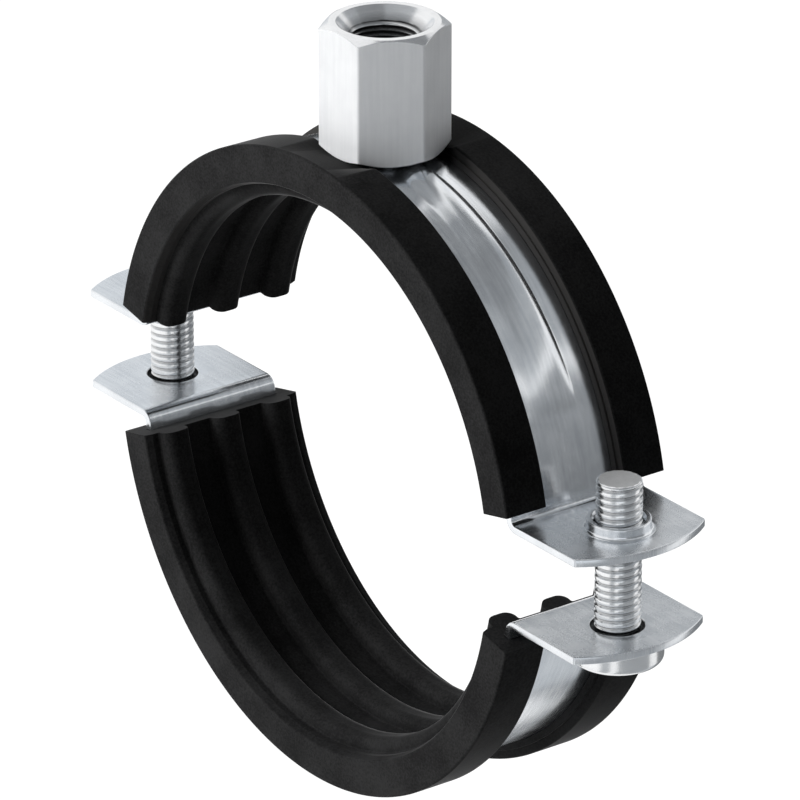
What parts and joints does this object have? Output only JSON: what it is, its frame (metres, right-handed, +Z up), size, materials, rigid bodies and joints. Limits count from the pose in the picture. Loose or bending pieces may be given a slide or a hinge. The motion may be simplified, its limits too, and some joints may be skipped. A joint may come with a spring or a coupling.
{
  "type": "rubber lined pipe clamp",
  "caption": "Two-part steel pipe clamp with a ribbed rubber lining, side screws through flanges and a welded hexagon nut that hangs it from a threaded rod.",
  "frame": {"origin": "centre of the pipe seat, on the pipe's axis, midway along the lining", "axes": "+Y along the pipe, +Z up through the threaded rod's nut, +X towards one of the two side screws"},
  "size_m": [0.1146, 0.0252, 0.1041],
  "materials": {
    "zinc_nut": "bright zinc plating over drawn hexagon bar",
    "zinc_strip": "bright zinc plating over rolled steel strip",
    "zinc_screw": "bright zinc plating over cold headed steel",
    "lining_rubber": "matt extruded rubber"
  },
  "bodies": {
    "upper_half": {"connection_nut": "zinc_nut", "upper_band": "zinc_strip", "upper_lining": "lining_rubber"},
    "lower_half": {"lower_band": "zinc_strip", "lower_lining": "lining_rubber"},
    "screw_left_body": {"screw_left": "zinc_screw"},
    "screw_right_body": {"screw_right": "zinc_screw"}
  },
  "joints": [
    {"name": "clamp_travel", "type": "slide", "parent": "upper_half", "child": "lower_half", "axis": [0, 0, 1], "range_m": [-0.005, 0.012]},
    {"name": "screw_left_turn", "type": "hinge", "parent": "lower_half", "child": "screw_left_body", "pos_m": [-0.0496, 0, 0], "axis": [0, 0, 1], "range_deg": [-1800, 4320]},
    {"name": "screw_right_turn", "type": "hinge", "parent": "lower_half", "child": "screw_right_body", "pos_m": [0.0496, 0, 0], "axis": [0, 0, 1], "range_deg": [-1800, 4320]}
  ],
  "couplings": [
    {"joint": "screw_left_turn", "follows": "clamp_travel", "rad_per_m": 6283.2},
    {"joint": "screw_right_turn", "follows": "clamp_travel", "rad_per_m": 6283.2}
  ]
}
